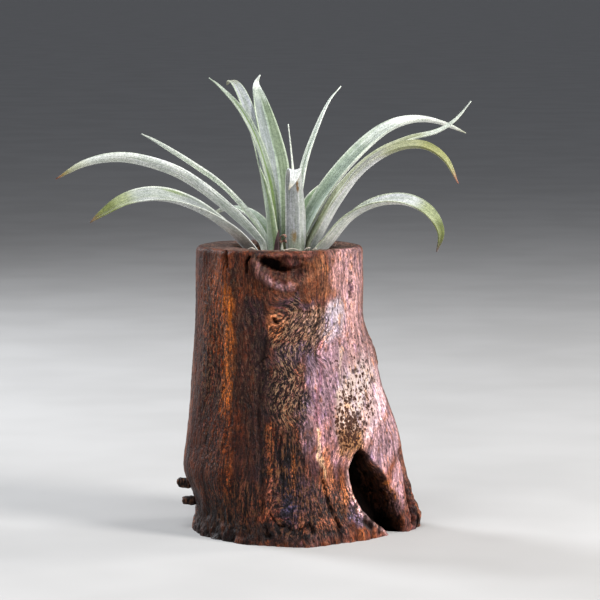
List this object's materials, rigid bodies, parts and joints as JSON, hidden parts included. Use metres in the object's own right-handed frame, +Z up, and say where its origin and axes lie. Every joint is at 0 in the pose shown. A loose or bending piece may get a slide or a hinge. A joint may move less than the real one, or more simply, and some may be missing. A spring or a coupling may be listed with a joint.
{
  "type": "potted air plant",
  "caption": "Small rosette of arching, channelled silvery leaves standing in a hole bored in the top of a weathered driftwood log that flares into roots at its foot.",
  "frame": {"origin": "on the plane that the log stands on, near the middle of its foot", "axes": "+Z up along the log, +X towards the log's long root, -Y towards the side with the knot and the hollow between the roots"},
  "size_m": [0.1117, 0.0741, 0.1206],
  "materials": {
    "driftwood": "weathered and worn, lightly oiled, satin",
    "stem": "dry, matte",
    "leaf": "covered in fine silvery scales, matte",
    "dry_leaf": "dry, matte"
  },
  "bodies": {
    "root": {"driftwood_log": "driftwood", "stem": "stem", "leaf_left_low": "leaf", "leaf_left_long": "leaf", "leaf_left_thin": "leaf", "leaf_short_left": "leaf", "leaf_tall_narrow": "leaf", "leaf_tall_blunt": "leaf", "leaf_tall_wide": "leaf", "leaf_centre_spike": "leaf", "leaf_tall_right": "leaf", "leaf_right_high": "leaf", "leaf_right_wavy": "leaf", "leaf_right_broad": "leaf", "leaf_right_low": "leaf", "leaf_front_hooked": "leaf", "leaf_back_low": "leaf", "leaf_back_right": "leaf", "leaf_back_left": "leaf", "leaf_back_short": "leaf", "withered_leaf": "dry_leaf", "dry_stub": "dry_leaf"}
  },
  "joints": []
}
